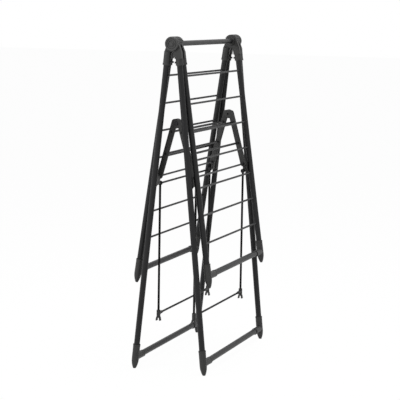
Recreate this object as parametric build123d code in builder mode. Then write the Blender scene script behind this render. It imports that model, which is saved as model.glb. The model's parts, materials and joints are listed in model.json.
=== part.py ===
"""Free-standing folding drying rack: an A-frame of two legs with a hanging wing on each side.

Millimetres. The floor is Z = 0, the hinge axle runs along X at the top, the front leg stands
at -Y and the back leg at +Y. The front half is the back half turned half way round about Z.
"""
import math
import os

from build123d import *

os.makedirs("parts", exist_ok=True)

# Stance, as the rack stands half open with both wings hanging.
hub_height = 1000.0
leg_angle = 5.7
wing_angle = 8.1
leg_plane = 274.0
tube_offset = 15.0

# Hub: four knuckle discs side by side on one axle at each end of the top rail.
disc_pitch = 10.8
disc_gap = 0.6
disc_diameter = 43.0
disc_notches = 24
notch_radius = 1.4
axle_diameter = 8.0
axle_head_diameter = 15.0
axle_head_height = 3.0
axle_grip = 20.0
cap_thickness = 6.0
cap_rim_chamfer = 1.6
cap_groove_depth = 1.8
cap_groove_width = 2.0
cap_groove_radii = (9.0, 14.5)
cap_button_height = 1.2
cap_button_radius = 5.0
rail_diameter = 16.0
rail_wall = 1.0
collar_diameter = 27.0
collar_thickness = 4.5

# Knuckle sleeve that holds the top of each side tube.
sleeve_width = 21.0
sleeve_depth = 22.6
sleeve_top = 25.0
sleeve_end = 66.0
sleeve_floor = 5.0
sleeve_flare = 0.7
sleeve_flare_height = 6.0
screw_boss_height = 0.8
screw_place = 56.0
screw_diameter = 3.0
screw_length = 6.0
screw_head_diameter = 6.0
screw_head_height = 3.2
screw_recess_length = 3.6
screw_recess_width = 1.0
screw_recess_depth = 1.5

# Tubes and rods.
side_tube_diameter = 18.0
side_tube_wall = 1.0
cross_tube_diameter = 18.0
cross_tube_wall = 1.0
rung_diameter = 6.2
rung_wall = 0.8
rung_insert = 5.0
rung_count = 7
first_rung = 99.3
rung_pitch = 85.0

# Moulded corner caps: the feet are the wing corners with a longer socket.
leg_length = 1008.0
wing_length = 743.5
corner_height = 74.0
foot_height = 78.0
corner_diameter = 22.0
corner_lip_height = 5.0
corner_lip = 0.4
corner_nose = 31.0
corner_tip_radius = 3.5
branch_height = 37.5
branch_diameter = 21.2
branch_drop = 0.8
branch_reach = 55.0
branch_lip_width = 5.0
corner_floor = 3.0
cross_tube_stop = 12.0

# Brackets on the legs, which carry the spreader and the wing strut.
bracket_saddle = 3.0
pivot_outset = 1.0
spreader_pivot = 407.0
strut_pivot = 430.0
boss_radius = 8.5
spacer_radius = 4.2
wing_tube_gap = 1.0
pivot_pin_diameter = 6.0
pin_head_diameter = 10.0
pin_head_height = 1.8
pin_insert = 5.0

# Spreader panels, which meet in a folded V between the legs.
apex_drop = 240.0
arm_plane = 233.5
arm_pitch = 9.0
arm_thickness = 8.0
arm_width = 18.5
arm_offset = 11.0
arm_corner_radius = 2.0
arm_edge_radius = 2.5
apex_eye_diameter = 29.0
spreader_rung_diameter = 7.0
spreader_rungs = (31.5, 101.5)
spreader_rung_set_back = 1.0
apex_rivet_diameter = 6.0
apex_rivet_head_diameter = 12.0
apex_rivet_head_height = 2.5

# Wing struts: wire frames that hang from the brackets and end in fork clips.
strut_plane = 220.0
strut_rod_diameter = 7.0
strut_eye_diameter = 14.0
strut_eye_thickness = 6.0
strut_length = 429.5
fork_length = 33.0
fork_body_diameter = 12.0
fork_socket = 12.0
fork_spread = 16.5
fork_prong = 4.5
fork_prong_length = 12.0
fork_prong_tip_radius = 1.2
fork_thickness = 9.0
fork_notch_width = 6.4
fork_notch_depth = 9.5
fork_branch_height = 23.0
fork_branch_reach = 30.0
fork_branch_depth = 13.5
fork_branch_width = 9.6
fork_branch_tip_diameter = 8.0
strut_cross_diameter = 6.2
strut_cross_stop = 9.0

# Clearances, each on the radius or on one face.
running_clearance = 0.05
socket_clearance = 0.05
face_clearance = 0.3

# Worked-out sizes.
wing_plane = leg_plane - 2 * disc_pitch
disc_thickness = disc_pitch - disc_gap
hub_outer_face = leg_plane + disc_pitch
hub_inner_face = wing_plane - disc_pitch
rail_half_length = hub_inner_face - collar_thickness
pivot_offset = tube_offset + pivot_outset
cap_base = hub_outer_face + face_clearance
side_tube_radius = side_tube_diameter / 2
side_tube_top = sleeve_top + sleeve_floor
side_tube_stop = branch_height + cross_tube_diameter / 2 + corner_floor
rung_places = [(tube_offset, -first_rung - rung_pitch * number) for number in range(rung_count)]
screw_seat = sleeve_depth / 2 + screw_boss_height
pin_root = leg_plane - side_tube_radius + pin_insert
pivot_places = [(pivot_offset, -spreader_pivot), (pivot_offset, -strut_pivot)]
boss_face = wing_plane + side_tube_radius + wing_tube_gap
strut_eye_face = strut_plane + strut_rod_diameter / 2


def frame_plane(turn, angle):
    """A leg's or wing's own axes at the hub: X along the axle, Y outwards, Z up the tubes."""
    slope = math.radians(angle)
    return Plane(
        origin=(0, 0, hub_height),
        x_dir=(turn, 0, 0),
        z_dir=(0, -turn * math.sin(slope), math.cos(slope)),
    )


def shifted(plane, x, y, z):
    """The plane moved within its own axes."""
    return Plane(plane.from_local_coords(Vector(x, y, z)), x_dir=plane.x_dir, z_dir=plane.z_dir)


def crosswise(plane, x):
    """A sketch plane square to the axle at x: its X is the frame's Y and its Y the frame's Z."""
    return Plane(plane.from_local_coords(Vector(x, 0, 0)), x_dir=plane.y_dir, z_dir=plane.x_dir)


def upright(plane):
    """A sketch plane along the tubes: its X is the frame's X and its Y the frame's Z."""
    return Plane(plane.origin, x_dir=plane.x_dir, z_dir=-plane.y_dir)


def screw_plane(frame, plane, hand):
    """A sketch plane on a side tube's axis, with its normal along the knuckle's screw."""
    place = frame.from_local_coords(Vector(hand * plane, tube_offset, -screw_place))
    return Plane(place, x_dir=frame.x_dir, z_dir=-frame.y_dir)


def save(builder, name):
    """Label the finished piece and write its file."""
    builder.part.label = name
    export_step(builder.part, f"parts/{name}.step")


def rail_end(hand):
    """A sketch plane at the rack's middle on the axle, with its normal towards one end."""
    return Plane((0, 0, hub_height), x_dir=(0, 1, 0), z_dir=(hand, 0, 0))


def make_top_rail():
    """The tube between the two hubs."""
    with BuildPart() as rail:
        with BuildSketch(rail_end(1)):
            Circle(rail_diameter / 2)
            Circle(rail_diameter / 2 - rail_wall, mode=Mode.SUBTRACT)
        extrude(amount=rail_half_length, both=True)
    save(rail, "top_rail")


def make_rail_collars():
    """Plugs in the rail's ends with a flange against the hub, bored for the axles."""
    spigot_radius = rail_diameter / 2 - rail_wall - socket_clearance
    with BuildPart() as collars:
        for hand in (-1, 1):
            end = rail_end(hand)
            with BuildSketch(end.offset(rail_half_length)):
                Circle(collar_diameter / 2)
            extrude(amount=collar_thickness - face_clearance)
            with BuildSketch(end.offset(rail_half_length - axle_grip)):
                Circle(spigot_radius)
            extrude(amount=axle_grip)
            with BuildSketch(end.offset(rail_half_length - axle_grip)):
                Circle(axle_diameter / 2 + running_clearance)
            extrude(amount=axle_grip + collar_thickness, mode=Mode.SUBTRACT)
    save(collars, "rail_collars")


def make_axles():
    """Shoulder bolts: a head under each hub cap and a shank through the discs into the rail."""
    with BuildPart() as axles:
        for hand in (-1, 1):
            end = rail_end(hand)
            with BuildSketch(end.offset(rail_half_length - axle_grip)):
                Circle(axle_diameter / 2)
            extrude(amount=hub_outer_face - rail_half_length + axle_grip)
            with BuildSketch(end.offset(hub_outer_face)):
                Circle(axle_head_diameter / 2)
            extrude(amount=axle_head_height)
    save(axles, "hub_axles")


def make_hub_cap(hand, name):
    """Round cover over the axle head, with ring grooves and a raised button."""
    face = cap_base + cap_thickness
    with BuildPart() as cap:
        with BuildSketch(rail_end(hand).offset(cap_base)):
            Circle(disc_diameter / 2)
        extrude(amount=cap_thickness)
        chamfer(cap.faces().sort_by(Axis.X)[-1 if hand > 0 else 0].edges(), cap_rim_chamfer)
        for radius in cap_groove_radii:
            with BuildSketch(rail_end(hand).offset(face - cap_groove_depth)):
                Circle(radius + cap_groove_width / 2)
                Circle(radius - cap_groove_width / 2, mode=Mode.SUBTRACT)
            extrude(amount=cap_groove_depth, mode=Mode.SUBTRACT)
        with BuildSketch(rail_end(hand).offset(face)):
            Circle(cap_button_radius)
        extrude(amount=cap_button_height)
        with BuildSketch(rail_end(hand).offset(cap_base)):
            Circle(axle_head_diameter / 2 + socket_clearance)
        extrude(amount=axle_head_height - face_clearance, mode=Mode.SUBTRACT)
    save(cap, name)


def make_knuckle(frame, plane, hand, name):
    """Hub disc with a web and a sleeve: the hinge piece at the top of one side tube."""
    disc_place = hand * plane + disc_pitch / 2
    disc_radius = disc_diameter / 2
    inner_edge = tube_offset - sleeve_depth / 2
    outer_edge = tube_offset + sleeve_depth / 2
    web_end = (sleeve_top + sleeve_end) / 2
    tube_seat = shifted(frame, hand * plane, tube_offset, 0)
    with BuildPart() as knuckle:
        with BuildSketch(crosswise(frame, disc_place)):
            Circle(disc_radius)
            with PolarLocations(disc_radius, disc_notches):
                Circle(notch_radius, mode=Mode.SUBTRACT)
            with BuildLine():
                Polyline(
                    (0, 0),
                    (0, notch_radius - disc_radius),
                    (inner_edge, -side_tube_top),
                    (inner_edge, -web_end),
                    (outer_edge, -web_end),
                    (outer_edge, -sleeve_top),
                    (disc_radius - notch_radius, 0),
                    close=True,
                )
            make_face()
        extrude(amount=disc_thickness / 2, both=True)
        with BuildSketch(tube_seat.offset(-sleeve_end)):
            SlotOverall(sleeve_depth, sleeve_width, rotation=90)
        extrude(amount=sleeve_end - sleeve_top)
        with BuildSketch(tube_seat.offset(-sleeve_end)):
            SlotOverall(sleeve_depth + 2 * sleeve_flare, sleeve_width, rotation=90)
        extrude(amount=sleeve_flare_height)
        with BuildSketch(screw_plane(frame, plane, hand)):
            Circle(screw_head_diameter / 2)
        extrude(amount=screw_seat)
        with BuildSketch(tube_seat.offset(-sleeve_end)):
            Circle(side_tube_radius + socket_clearance)
        extrude(amount=sleeve_end - side_tube_top, mode=Mode.SUBTRACT)
        with BuildSketch(crosswise(frame, disc_place)):
            Circle(axle_diameter / 2 + running_clearance)
        extrude(amount=disc_thickness, both=True, mode=Mode.SUBTRACT)
        with BuildSketch(screw_plane(frame, plane, hand)):
            Circle(screw_diameter / 2 + socket_clearance)
        extrude(amount=screw_seat, mode=Mode.SUBTRACT)
    save(knuckle, name)


def make_screws(frame, plane, name):
    """The two cross-recessed screws that hold a frame's side tubes in their knuckles."""
    with BuildPart() as screws:
        for hand in (-1, 1):
            axis = screw_plane(frame, plane, hand)
            with BuildSketch(axis.offset(screw_seat - screw_length)):
                Circle(screw_diameter / 2)
            extrude(amount=screw_length)
            with BuildSketch(axis.offset(screw_seat)):
                Circle(screw_head_diameter / 2)
            extrude(amount=screw_head_height)
            with BuildSketch(axis.offset(screw_seat + screw_head_height - screw_recess_depth)):
                Rectangle(screw_recess_length, screw_recess_width)
                Rectangle(screw_recess_width, screw_recess_length)
            extrude(amount=screw_recess_depth, mode=Mode.SUBTRACT)
    save(screws, name)


def make_side_tube(frame, plane, hand, length, rods, rod_diameter, name):
    """One long tube of a leg or a wing, drilled for its screw and for the rods that end in it."""
    tube_seat = shifted(frame, hand * plane, tube_offset, 0)
    with BuildPart() as tube:
        with BuildSketch(tube_seat.offset(side_tube_stop - length)):
            Circle(side_tube_radius)
            Circle(side_tube_radius - side_tube_wall, mode=Mode.SUBTRACT)
        extrude(amount=length - side_tube_stop - side_tube_top)
        with BuildSketch(screw_plane(frame, plane, hand)):
            Circle(screw_diameter / 2 + socket_clearance)
        extrude(amount=side_tube_diameter, mode=Mode.SUBTRACT)
        with BuildSketch(crosswise(frame, hand * plane)):
            with Locations(rods):
                Circle(rod_diameter / 2 + socket_clearance)
        extrude(amount=-hand * side_tube_diameter, mode=Mode.SUBTRACT)
    save(tube, name)


def make_corner(frame, plane, hand, length, stands, name):
    """Moulded corner with a rounded nose and a branch for the cross tube; a foot stands flat."""
    seat = shifted(frame, hand * plane, tube_offset, -length)
    height = foot_height if stands else corner_height
    radius = corner_diameter / 2
    lip_radius = radius + corner_lip
    branch = crosswise(seat, 0)
    with BuildPart() as corner:
        with BuildSketch(upright(seat)):
            with BuildLine():
                TangentArc((radius, corner_nose), (corner_tip_radius, 0), tangent=(0, -1))
                Polyline(
                    (radius, corner_nose),
                    (radius, height - corner_lip_height),
                    (lip_radius, height - corner_lip_height + corner_lip),
                    (lip_radius, height),
                    (0, height),
                    (0, 0),
                    (corner_tip_radius, 0),
                )
            make_face()
        revolve(axis=Axis(seat.origin, seat.z_dir))
        with BuildSketch(branch):
            with Locations((0, branch_height - branch_drop)):
                Circle(branch_diameter / 2)
        extrude(amount=-hand * branch_reach)
        with BuildSketch(branch.offset(-hand * (branch_reach - branch_lip_width))):
            with Locations((0, branch_height - branch_drop)):
                Circle(branch_diameter / 2 + corner_lip)
        extrude(amount=-hand * branch_lip_width)
        with BuildSketch(seat.offset(side_tube_stop)):
            Circle(side_tube_radius + socket_clearance)
        extrude(amount=height - side_tube_stop, mode=Mode.SUBTRACT)
        with BuildSketch(branch.offset(-hand * cross_tube_stop)):
            with Locations((0, branch_height)):
                Circle(cross_tube_diameter / 2 + socket_clearance)
        extrude(amount=-hand * (branch_reach - cross_tube_stop), mode=Mode.SUBTRACT)
        if stands:
            split(bisect_by=Plane.XY, keep=Keep.TOP)
    save(corner, name)


def make_cross_tube(frame, plane, length, name):
    """The tube that joins a frame's two corners."""
    with BuildPart() as tube:
        with BuildSketch(crosswise(frame, 0)):
            with Locations((tube_offset, branch_height - length)):
                Circle(cross_tube_diameter / 2)
                Circle(cross_tube_diameter / 2 - cross_tube_wall, mode=Mode.SUBTRACT)
        extrude(amount=plane - cross_tube_stop, both=True)
    save(tube, name)


def make_rungs(frame, name):
    """The drying rods of a wing: thin tubes with their ends inside the side tubes."""
    with BuildPart() as rungs:
        with BuildSketch(crosswise(frame, 0)):
            with Locations(rung_places):
                Circle(rung_diameter / 2)
                Circle(rung_diameter / 2 - rung_wall, mode=Mode.SUBTRACT)
        extrude(amount=wing_plane - side_tube_radius + rung_insert, both=True)
    save(rungs, name)


def arm_place(hand):
    """Where a spreader arm lies along the axle: the outer arm at one end, the inner at the other."""
    return hand * arm_plane + arm_pitch / 2


def make_bracket(frame, hand, name):
    """Block on a leg tube's inner face, with a slim tongue under the wing's tube and a strut spacer."""
    saddle = crosswise(frame, hand * (leg_plane - bracket_saddle))
    arm_face = abs(arm_place(hand)) + arm_thickness / 2
    with BuildPart() as bracket:
        for radius, face in ((boss_radius, boss_face), (spacer_radius, arm_face + face_clearance)):
            with BuildSketch(saddle):
                with Locations(pivot_places):
                    Circle(radius)
                make_hull()
            extrude(amount=-hand * (leg_plane - bracket_saddle - face))
        with BuildSketch(saddle):
            with Locations((pivot_offset, -strut_pivot)):
                Circle(spacer_radius)
        extrude(amount=-hand * (leg_plane - bracket_saddle - strut_eye_face - face_clearance))
        with BuildSketch(shifted(frame, hand * leg_plane, tube_offset, -hub_height)):
            Circle(side_tube_radius + socket_clearance)
        extrude(amount=hub_height, mode=Mode.SUBTRACT)
        with BuildSketch(saddle):
            with Locations(pivot_places):
                Circle(pivot_pin_diameter / 2 + socket_clearance)
        extrude(amount=-hand * leg_plane, mode=Mode.SUBTRACT)
    save(bracket, name)


def make_pivot_pins(frame, name):
    """A collared rod across a leg's brackets for its spreader, and a headed pin for each strut rod."""
    with BuildPart() as pins:
        with BuildSketch(crosswise(frame, 0)):
            with Locations(pivot_places[0]):
                Circle(pivot_pin_diameter / 2)
        extrude(amount=pin_root, both=True)
        for hand in (-1, 1):
            arm_face = abs(arm_place(hand)) - arm_thickness / 2
            strut_face = strut_plane - strut_rod_diameter / 2
            with BuildSketch(crosswise(frame, hand * pin_root)):
                with Locations((pivot_offset, -strut_pivot)):
                    Circle(pivot_pin_diameter / 2)
            extrude(amount=-hand * (pin_root - strut_face + face_clearance))
            for place, face in ((spreader_pivot, arm_face), (strut_pivot, strut_face)):
                with BuildSketch(crosswise(frame, hand * (face - face_clearance))):
                    with Locations((pivot_offset, -place)):
                        Circle(pin_head_diameter / 2)
                extrude(amount=-hand * pin_head_height)
    save(pins, name)


def spreader_frame(turn):
    """A spreader panel's own axes: X along its pivot, Z from the pivot to the V's apex."""
    pivot = frame_plane(turn, leg_angle).from_local_coords(Vector(0, pivot_offset, -spreader_pivot))
    apex = Vector(0, 0, hub_height - apex_drop)
    return Plane(pivot, x_dir=(turn, 0, 0), z_dir=apex - pivot)


def spreader_length():
    """Distance from a spreader's pivot to the V's apex, set by where both stand at rest."""
    slope = math.radians(leg_angle)
    across = pivot_offset * math.cos(slope) + spreader_pivot * math.sin(slope)
    below = spreader_pivot * math.cos(slope) - pivot_offset * math.sin(slope) - apex_drop
    return math.hypot(across, below)


def arm_point(place):
    """A point on an arm's middle line, place below the apex: the line leans out to the eye's side."""
    along = spreader_length() - place
    return (arm_offset * along / spreader_length(), along)


def make_spreader_arm(panel, hand, name):
    """Flat arm with rounded edges, a pivot hole and rung holes, and a large eye beside its top end."""
    apex = (0, spreader_length())
    with BuildPart() as arm:
        with BuildSketch(crosswise(panel, arm_place(hand))) as outline:
            with Locations((0, 0), arm_point(0)):
                Circle(arm_width / 2)
            make_hull()
            with Locations(apex):
                Circle(apex_eye_diameter / 2)
            fillet(outline.vertices().sort_by_distance(apex)[:2], arm_corner_radius)
        extrude(amount=arm_thickness / 2, both=True)
        fillet(arm.faces().filter_by(Axis.X).edges(), arm_edge_radius)
        with BuildSketch(crosswise(panel, arm_place(hand))):
            Circle(pivot_pin_diameter / 2 + running_clearance)
            with Locations([arm_point(place) for place in spreader_rungs]):
                Circle(spreader_rung_diameter / 2 + socket_clearance)
            with Locations(apex):
                Circle(apex_rivet_diameter / 2 + socket_clearance)
        extrude(amount=arm_thickness, both=True, mode=Mode.SUBTRACT)
    save(arm, name)


def make_spreader_rungs(panel, name):
    """The rods across a spreader panel, set a little below the arms' outer faces."""
    half_arm = arm_thickness / 2 - spreader_rung_set_back
    start = arm_place(-1) - half_arm
    end = arm_place(1) + half_arm
    with BuildPart() as rungs:
        with BuildSketch(crosswise(panel, start)):
            with Locations([arm_point(place) for place in spreader_rungs]):
                Circle(spreader_rung_diameter / 2)
        extrude(amount=end - start)
    save(rungs, name)


def make_apex_rivet(panel, name):
    """Round-headed rivet in the outer arm's eye."""
    face = arm_place(1) + arm_thickness / 2
    with BuildPart() as rivet:
        with BuildSketch(crosswise(panel, face - arm_thickness)):
            with Locations((0, spreader_length())):
                Circle(apex_rivet_diameter / 2)
        extrude(amount=arm_thickness)
        with BuildSketch(crosswise(panel, face)):
            with Locations((0, spreader_length())):
                Circle(apex_rivet_head_diameter / 2)
        extrude(amount=apex_rivet_head_height)
        head_top = rivet.faces().sort_by(Axis(panel.origin, panel.x_dir))[-1]
        fillet(head_top.edges(), apex_rivet_head_height / 2)
    save(rivet, name)


def strut_frame(turn):
    """A strut's own axes at its pivot, hanging straight down: Y outwards and Z up."""
    pivot = frame_plane(turn, leg_angle).from_local_coords(Vector(0, pivot_offset, -strut_pivot))
    return Plane(pivot, x_dir=(turn, 0, 0), z_dir=(0, 0, 1))


def make_strut_rods(strut, name):
    """The two long rods of a strut, each with a flat eye on its pin."""
    rod_end = strut_length - fork_length + fork_socket
    with BuildPart() as rods:
        for hand in (-1, 1):
            with BuildSketch(shifted(strut, hand * strut_plane, 0, -rod_end)):
                Circle(strut_rod_diameter / 2)
            extrude(amount=rod_end)
            with BuildSketch(crosswise(strut, hand * strut_plane)):
                Circle(strut_eye_diameter / 2)
            extrude(amount=strut_eye_thickness / 2, both=True)
            with BuildSketch(crosswise(strut, hand * strut_plane)):
                Circle(pivot_pin_diameter / 2 + running_clearance)
            extrude(amount=strut_rod_diameter, both=True, mode=Mode.SUBTRACT)
    save(rods, name)


def make_strut_forks(strut, name):
    """Fork clips on a strut's lower ends, each with a cone that holds the cross rod."""
    top = fork_length - strut_length
    branch_level = fork_branch_height - strut_length
    prong_root = fork_prong_length - strut_length
    body_radius = fork_body_diameter / 2
    mouth_radius = fork_notch_width / 2
    notch_shoulder = fork_notch_depth - mouth_radius - strut_length
    prong_inside = fork_spread / 2 - fork_prong
    with BuildPart() as forks:
        for hand in (-1, 1):
            middle = crosswise(strut, hand * strut_plane)
            with BuildSketch(shifted(strut, hand * strut_plane, 0, prong_root)):
                Circle(body_radius)
            extrude(amount=top - prong_root)
            with BuildSketch(middle) as prongs:
                with BuildLine():
                    Polyline(
                        (mouth_radius, notch_shoulder),
                        (prong_inside, -strut_length),
                        (fork_spread / 2, -strut_length),
                        (body_radius, prong_root),
                        (-body_radius, prong_root),
                        (-fork_spread / 2, -strut_length),
                        (-prong_inside, -strut_length),
                        (-mouth_radius, notch_shoulder),
                    )
                    RadiusArc(
                        (-mouth_radius, notch_shoulder),
                        (mouth_radius, notch_shoulder),
                        mouth_radius,
                    )
                make_face()
                fillet(prongs.vertices().group_by(Axis.Y)[0], fork_prong_tip_radius)
            extrude(amount=fork_thickness / 2, both=True)
            with BuildSketch(middle):
                with Locations((0, branch_level)):
                    Ellipse(fork_branch_width / 2, fork_branch_depth / 2)
            with BuildSketch(crosswise(strut, hand * (strut_plane - fork_branch_reach))):
                with Locations((0, branch_level)):
                    Circle(fork_branch_tip_diameter / 2)
            loft()
            with BuildSketch(shifted(strut, hand * strut_plane, 0, top - fork_socket)):
                Circle(strut_rod_diameter / 2 + socket_clearance)
            extrude(amount=fork_socket, mode=Mode.SUBTRACT)
            with BuildSketch(crosswise(strut, hand * (strut_plane - strut_cross_stop))):
                with Locations((0, branch_level)):
                    Circle(strut_cross_diameter / 2 + socket_clearance)
            extrude(amount=-hand * fork_branch_reach, mode=Mode.SUBTRACT)
    save(forks, name)


def make_strut_cross_rod(strut, name):
    """The thin rod between a strut's forks."""
    with BuildPart() as rod:
        with BuildSketch(crosswise(strut, 0)):
            with Locations((0, fork_branch_height - strut_length)):
                Circle(strut_cross_diameter / 2)
        extrude(amount=strut_plane - strut_cross_stop, both=True)
    save(rod, name)


make_top_rail()
make_rail_collars()
make_axles()
make_hub_cap(-1, "hub_cap_left")
make_hub_cap(1, "hub_cap_right")

for turn, side in ((1, "back"), (-1, "front")):
    ends = {-1: "left" if turn > 0 else "right", 1: "right" if turn > 0 else "left"}
    leg = frame_plane(turn, leg_angle)
    wing = frame_plane(turn, wing_angle)
    panel = spreader_frame(turn)
    strut = strut_frame(turn)
    for hand, end in ends.items():
        make_knuckle(leg, leg_plane, hand, f"leg_{side}_knuckle_{end}")
        make_side_tube(
            leg, leg_plane, hand, leg_length, pivot_places, pivot_pin_diameter, f"leg_{side}_tube_{end}"
        )
        make_corner(leg, leg_plane, hand, leg_length, True, f"leg_{side}_foot_{end}")
        make_bracket(leg, hand, f"leg_{side}_bracket_{end}")
        make_knuckle(wing, wing_plane, hand, f"wing_{side}_knuckle_{end}")
        make_side_tube(
            wing, wing_plane, hand, wing_length, rung_places, rung_diameter, f"wing_{side}_tube_{end}"
        )
        make_corner(wing, wing_plane, hand, wing_length, False, f"wing_{side}_corner_{end}")
        make_spreader_arm(panel, hand, f"spreader_{side}_arm_{end}")
    make_screws(leg, leg_plane, f"leg_{side}_screws")
    make_cross_tube(leg, leg_plane, leg_length, f"leg_{side}_base_tube")
    make_pivot_pins(leg, f"leg_{side}_pivot_pins")
    make_screws(wing, wing_plane, f"wing_{side}_screws")
    make_cross_tube(wing, wing_plane, wing_length, f"wing_{side}_end_tube")
    make_rungs(wing, f"wing_{side}_rungs")
    make_spreader_rungs(panel, f"spreader_{side}_rungs")
    make_apex_rivet(panel, f"spreader_{side}_rivet")
    make_strut_rods(strut, f"strut_{side}_rods")
    make_strut_forks(strut, f"strut_{side}_forks")
    make_strut_cross_rod(strut, f"strut_{side}_cross_rod")
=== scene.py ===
import json
import math

import bpy
from mathutils import Matrix, Vector

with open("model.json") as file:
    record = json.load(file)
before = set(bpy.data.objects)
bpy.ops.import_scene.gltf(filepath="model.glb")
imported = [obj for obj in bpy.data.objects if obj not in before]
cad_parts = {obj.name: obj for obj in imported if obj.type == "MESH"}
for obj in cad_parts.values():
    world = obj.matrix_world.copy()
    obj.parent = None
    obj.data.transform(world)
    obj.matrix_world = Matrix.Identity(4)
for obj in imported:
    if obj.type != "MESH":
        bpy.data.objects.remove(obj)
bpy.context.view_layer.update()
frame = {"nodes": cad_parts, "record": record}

# Camera, in metres and degrees: the heading turns from +Y towards +X.
CAMERA_PLACE = Vector((-4.330, -1.600, 1.107))
CAMERA_HEADING = 69.61
CAMERA_PITCH = -7.51
CAMERA_ROLL = 0.96
FOCAL_PIXELS = 1457.0
PHOTO_PIXELS = 400.0
SENSOR_MM = 36.0
CLIP_END = 200.0

# Studio, in metres and watts. A lamp has a name, a place, a size and a power.
WHITE = "#FFFFFF"
FLOOR_HALF = 30.0
FLOOR_PAINT = "#FBFBFB"
FLOOR_WHITE_SHARE = 0.97
WORLD_STRENGTH = 0.36
BACKDROP_STRENGTH = 1.0
LAMPS = (
    ("softbox_left", (-2.9, 2.5, 2.2), 1.4, 70.0),
    ("softbox_top", (0.2, -0.6, 3.4), 2.0, 80.0),
    ("softbox_front", (-2.4, -3.0, 1.6), 2.0, 6.0),
)
LAMP_AIM = Vector((0.0, 0.0, 0.5))

# Powder coat: the real peel is about 1 mm across; it is drawn at 2 mm so that it shows close up.
PEEL_MM = 2.0
COAT_CLOUD_MM = 40.0
COAT_ROUGHNESS = {"To Min": 0.36, "To Max": 0.50}
COAT_IOR = 1.5

# Moulded plastic: the real grain is about 0.3 mm; it is drawn at 1.2 mm so that it shows close up.
GRAIN_MM = 1.2
GRAIN_STRENGTH = 0.35
PLASTIC_CLOUD_MM = 25.0
PLASTIC_ROUGHNESS = {"To Min": 0.44, "To Max": 0.60}
PLASTIC_IOR = 1.49
PLASTIC_SPECULAR_LEVEL = 0.40

# Zinc plate: its patches are a few millimetres across.
ZINC_CLOUD_MM = 3.0
ZINC_ROUGHNESS = {"To Min": 0.32, "To Max": 0.45}
ZINC_METALLIC = 0.85

# Height of the fine relief on coats and mouldings, in metres.
SKIN_RELIEF = 0.0002

# Sockets of Blender's Mix node when it mixes colours.
MIX_FIRST = 6
MIX_SECOND = 7
MIX_RESULT = 2


def linear(hex_colour):
    """An sRGB hex colour as the linear RGBA that a shader takes."""
    values = []
    for start in (1, 3, 5):
        value = int(hex_colour[start:start + 2], 16) / 255.0
        values.append(value / 12.92 if value <= 0.04045 else ((value + 0.055) / 1.055) ** 2.4)
    return (*values, 1.0)


def per_mm(size_mm):
    """The texture scale at which one feature is size_mm wide on Object coordinates in metres."""
    return 1000.0 / size_mm


def add(tree, kind, settings=None, links=None):
    """Add a node, set its properties and input values, and link its inputs to other nodes' outputs."""
    node = tree.nodes.new(kind)
    for key, value in (settings or {}).items():
        if isinstance(key, str) and hasattr(node, key):
            setattr(node, key, value)
        else:
            node.inputs[key].default_value = value
    for key, output in (links or {}).items():
        tree.links.new(output, node.inputs[key])
    return node


def empty_material(name):
    """A node material with nothing in it, and its tree."""
    material = bpy.data.materials.new(name)
    material.use_nodes = True
    material.node_tree.nodes.clear()
    return material, material.node_tree


def powder_coated_steel(name, dark, light, peel_strength, specular_level):
    """Black polyester powder coat on steel: satin, with a fine orange-peel skin and faint clouding."""
    material, tree = empty_material(name)
    place = add(tree, "ShaderNodeTexCoord").outputs["Object"]
    peel = add(
        tree, "ShaderNodeTexNoise", {"Scale": per_mm(PEEL_MM), "Detail": 3.0}, {"Vector": place}
    )
    cloud = add(
        tree, "ShaderNodeTexNoise", {"Scale": per_mm(COAT_CLOUD_MM), "Detail": 4.0}, {"Vector": place}
    )
    tone = add(
        tree,
        "ShaderNodeMix",
        {"data_type": "RGBA", MIX_FIRST: linear(dark), MIX_SECOND: linear(light)},
        {"Factor": cloud.outputs["Fac"]},
    )
    gloss = add(tree, "ShaderNodeMapRange", COAT_ROUGHNESS, {"Value": cloud.outputs["Fac"]})
    bump = add(
        tree,
        "ShaderNodeBump",
        {"Strength": peel_strength, "Distance": SKIN_RELIEF},
        {"Height": peel.outputs["Fac"]},
    )
    shader = add(
        tree,
        "ShaderNodeBsdfPrincipled",
        {"IOR": COAT_IOR, "Specular IOR Level": specular_level},
        {
            "Base Color": tone.outputs[MIX_RESULT],
            "Roughness": gloss.outputs["Result"],
            "Normal": bump.outputs["Normal"],
        },
    )
    add(tree, "ShaderNodeOutputMaterial", links={"Surface": shader.outputs["BSDF"]})
    return material


def moulded_polypropylene(name, dark, light):
    """Dark grey injection-moulded polypropylene: matte, with the grain of a spark-eroded mould."""
    material, tree = empty_material(name)
    place = add(tree, "ShaderNodeTexCoord").outputs["Object"]
    grain = add(
        tree, "ShaderNodeTexNoise", {"Scale": per_mm(GRAIN_MM), "Detail": 4.0}, {"Vector": place}
    )
    cloud = add(
        tree, "ShaderNodeTexNoise", {"Scale": per_mm(PLASTIC_CLOUD_MM), "Detail": 3.0}, {"Vector": place}
    )
    tone = add(
        tree,
        "ShaderNodeMix",
        {"data_type": "RGBA", MIX_FIRST: linear(dark), MIX_SECOND: linear(light)},
        {"Factor": cloud.outputs["Fac"]},
    )
    gloss = add(tree, "ShaderNodeMapRange", PLASTIC_ROUGHNESS, {"Value": grain.outputs["Fac"]})
    bump = add(
        tree,
        "ShaderNodeBump",
        {"Strength": GRAIN_STRENGTH, "Distance": SKIN_RELIEF},
        {"Height": grain.outputs["Fac"]},
    )
    shader = add(
        tree,
        "ShaderNodeBsdfPrincipled",
        {"IOR": PLASTIC_IOR, "Specular IOR Level": PLASTIC_SPECULAR_LEVEL},
        {
            "Base Color": tone.outputs[MIX_RESULT],
            "Roughness": gloss.outputs["Result"],
            "Normal": bump.outputs["Normal"],
        },
    )
    add(tree, "ShaderNodeOutputMaterial", links={"Surface": shader.outputs["BSDF"]})
    return material


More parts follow.
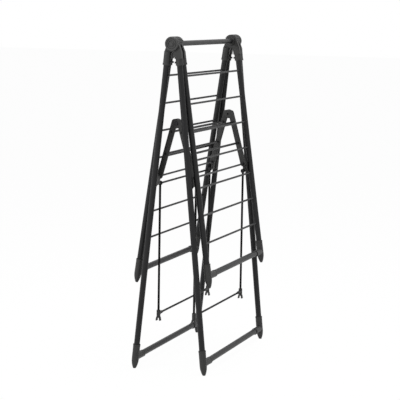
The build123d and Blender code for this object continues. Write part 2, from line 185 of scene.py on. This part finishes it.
def black_zinc():
    """Black zinc plate on steel pins, rivets and screws: dark metal with a slight uneven sheen."""
    material, tree = empty_material("black_zinc")
    place = add(tree, "ShaderNodeTexCoord").outputs["Object"]
    cloud = add(
        tree, "ShaderNodeTexNoise", {"Scale": per_mm(ZINC_CLOUD_MM), "Detail": 3.0}, {"Vector": place}
    )
    tone = add(
        tree,
        "ShaderNodeMix",
        {"data_type": "RGBA", MIX_FIRST: linear("#242426"), MIX_SECOND: linear("#363638")},
        {"Factor": cloud.outputs["Fac"]},
    )
    gloss = add(tree, "ShaderNodeMapRange", ZINC_ROUGHNESS, {"Value": cloud.outputs["Fac"]})
    shader = add(
        tree,
        "ShaderNodeBsdfPrincipled",
        {"Metallic": ZINC_METALLIC},
        {"Base Color": tone.outputs[MIX_RESULT], "Roughness": gloss.outputs["Result"]},
    )
    add(tree, "ShaderNodeOutputMaterial", links={"Surface": shader.outputs["BSDF"]})
    return material


def dress_nodes():
    """Give every CAD node the finish of its record slot, and rods and hub caps a shade of their own."""
    finishes = {
        "black_tube": powder_coated_steel(
            "powder_coated_steel", "#151516", "#1D1D1E", peel_strength=0.25, specular_level=0.25
        ),
        "dark_plastic": moulded_polypropylene("moulded_polypropylene", "#232323", "#2C2C2B"),
        "black_steel": black_zinc(),
    }
    slots = {row["node"]: row["material_slot"] for row in frame["record"]["subparts"]}
    dressed = {name: finishes[slots[name]] for name in frame["nodes"]}
    # Rods a pixel or two wide blend with the white behind them and look pale, so their coat is drawn
    # flatter and blacker than the tubes'. The hub caps are a paler moulding.
    rung_coat = powder_coated_steel(
        "powder_coated_rung", "#101011", "#171718", peel_strength=0.12, specular_level=0.22
    )
    rod_coat = powder_coated_steel(
        "powder_coated_rod", "#0A0A0A", "#101010", peel_strength=0.08, specular_level=0.10
    )
    pale = moulded_polypropylene("pale_polypropylene", "#333333", "#3E3E3D")
    dressed.update({name: rung_coat for name in dressed if name.endswith("_rungs")})
    dressed.update({name: rod_coat for name in dressed if name.endswith(("_rods", "_rod"))})
    dressed.update({name: pale for name in dressed if name.startswith("hub_cap")})
    for name, piece in frame["nodes"].items():
        piece.data.materials.clear()
        piece.data.materials.append(dressed[name])


def backdrop_rays(tree):
    """1 for the rays that should meet a white backdrop: the camera's, mirrored and transmitted ones."""
    path = add(tree, "ShaderNodeLightPath").outputs
    larger = {"operation": "MAXIMUM"}
    bent = add(
        tree, "ShaderNodeMath", larger, {0: path["Is Glossy Ray"], 1: path["Is Transmission Ray"]}
    )
    seen = add(tree, "ShaderNodeMath", larger, {0: path["Is Camera Ray"], 1: bent.outputs[0]})
    return seen.outputs[0]


def floor():
    """Plain white floor: it keeps a faint shadow and otherwise shows as white."""
    bpy.ops.mesh.primitive_plane_add(size=2 * FLOOR_HALF, location=(0, 0, 0))
    plane = bpy.context.object
    plane.name = "studio_floor"
    material, tree = empty_material("white_floor")
    paint = add(tree, "ShaderNodeBsdfDiffuse", {"Color": linear(FLOOR_PAINT)})
    glow = add(tree, "ShaderNodeEmission", {"Color": linear(WHITE), "Strength": BACKDROP_STRENGTH})
    share = add(
        tree, "ShaderNodeMath", {"operation": "MULTIPLY", 1: FLOOR_WHITE_SHARE}, {0: backdrop_rays(tree)}
    )
    mix = add(
        tree,
        "ShaderNodeMixShader",
        links={0: share.outputs[0], 1: paint.outputs["BSDF"], 2: glow.outputs["Emission"]},
    )
    add(tree, "ShaderNodeOutputMaterial", links={"Surface": mix.outputs["Shader"]})
    plane.data.materials.append(material)


def studio():
    """White surround for the camera and the reflections, softer light on the object, and softboxes."""
    world = bpy.data.worlds.new("studio")
    bpy.context.scene.world = world
    world.use_nodes = True
    tree = world.node_tree
    tree.nodes.clear()
    soft = add(tree, "ShaderNodeBackground", {"Color": linear(WHITE), "Strength": WORLD_STRENGTH})
    white = add(tree, "ShaderNodeBackground", {"Color": linear(WHITE), "Strength": BACKDROP_STRENGTH})
    mix = add(
        tree,
        "ShaderNodeMixShader",
        links={0: backdrop_rays(tree), 1: soft.outputs["Background"], 2: white.outputs["Background"]},
    )
    add(tree, "ShaderNodeOutputWorld", links={"Surface": mix.outputs["Shader"]})
    for name, place, size, power in LAMPS:
        lamp = bpy.data.lights.new(name, "AREA")
        lamp.size = size
        lamp.energy = power
        holder = bpy.data.objects.new(name, lamp)
        bpy.context.collection.objects.link(holder)
        holder.location = place
        holder.rotation_euler = (LAMP_AIM - Vector(place)).to_track_quat("-Z", "Y").to_euler()


def camera():
    """The photograph's view: a long lens from the left front, turned a little on its axis."""
    heading = math.radians(CAMERA_HEADING)
    pitch = math.radians(CAMERA_PITCH)
    forward = Vector(
        (math.sin(heading) * math.cos(pitch), math.cos(heading) * math.cos(pitch), math.sin(pitch))
    )
    level = Vector((math.cos(heading), -math.sin(heading), 0.0))
    right = Matrix.Rotation(math.radians(CAMERA_ROLL), 3, -forward) @ level
    up = right.cross(forward)
    lens = bpy.data.cameras.new("photo_view")
    lens.sensor_width = SENSOR_MM
    lens.lens = FOCAL_PIXELS * SENSOR_MM / PHOTO_PIXELS
    lens.clip_end = CLIP_END
    holder = bpy.data.objects.new("photo_view", lens)
    bpy.context.collection.objects.link(holder)
    axes = Matrix((right, up, -forward)).transposed()
    holder.matrix_world = Matrix.Translation(CAMERA_PLACE) @ axes.to_4x4()
    bpy.context.scene.camera = holder


bpy.context.scene.view_settings.view_transform = "Standard"
camera()
dress_nodes()
floor()
studio()
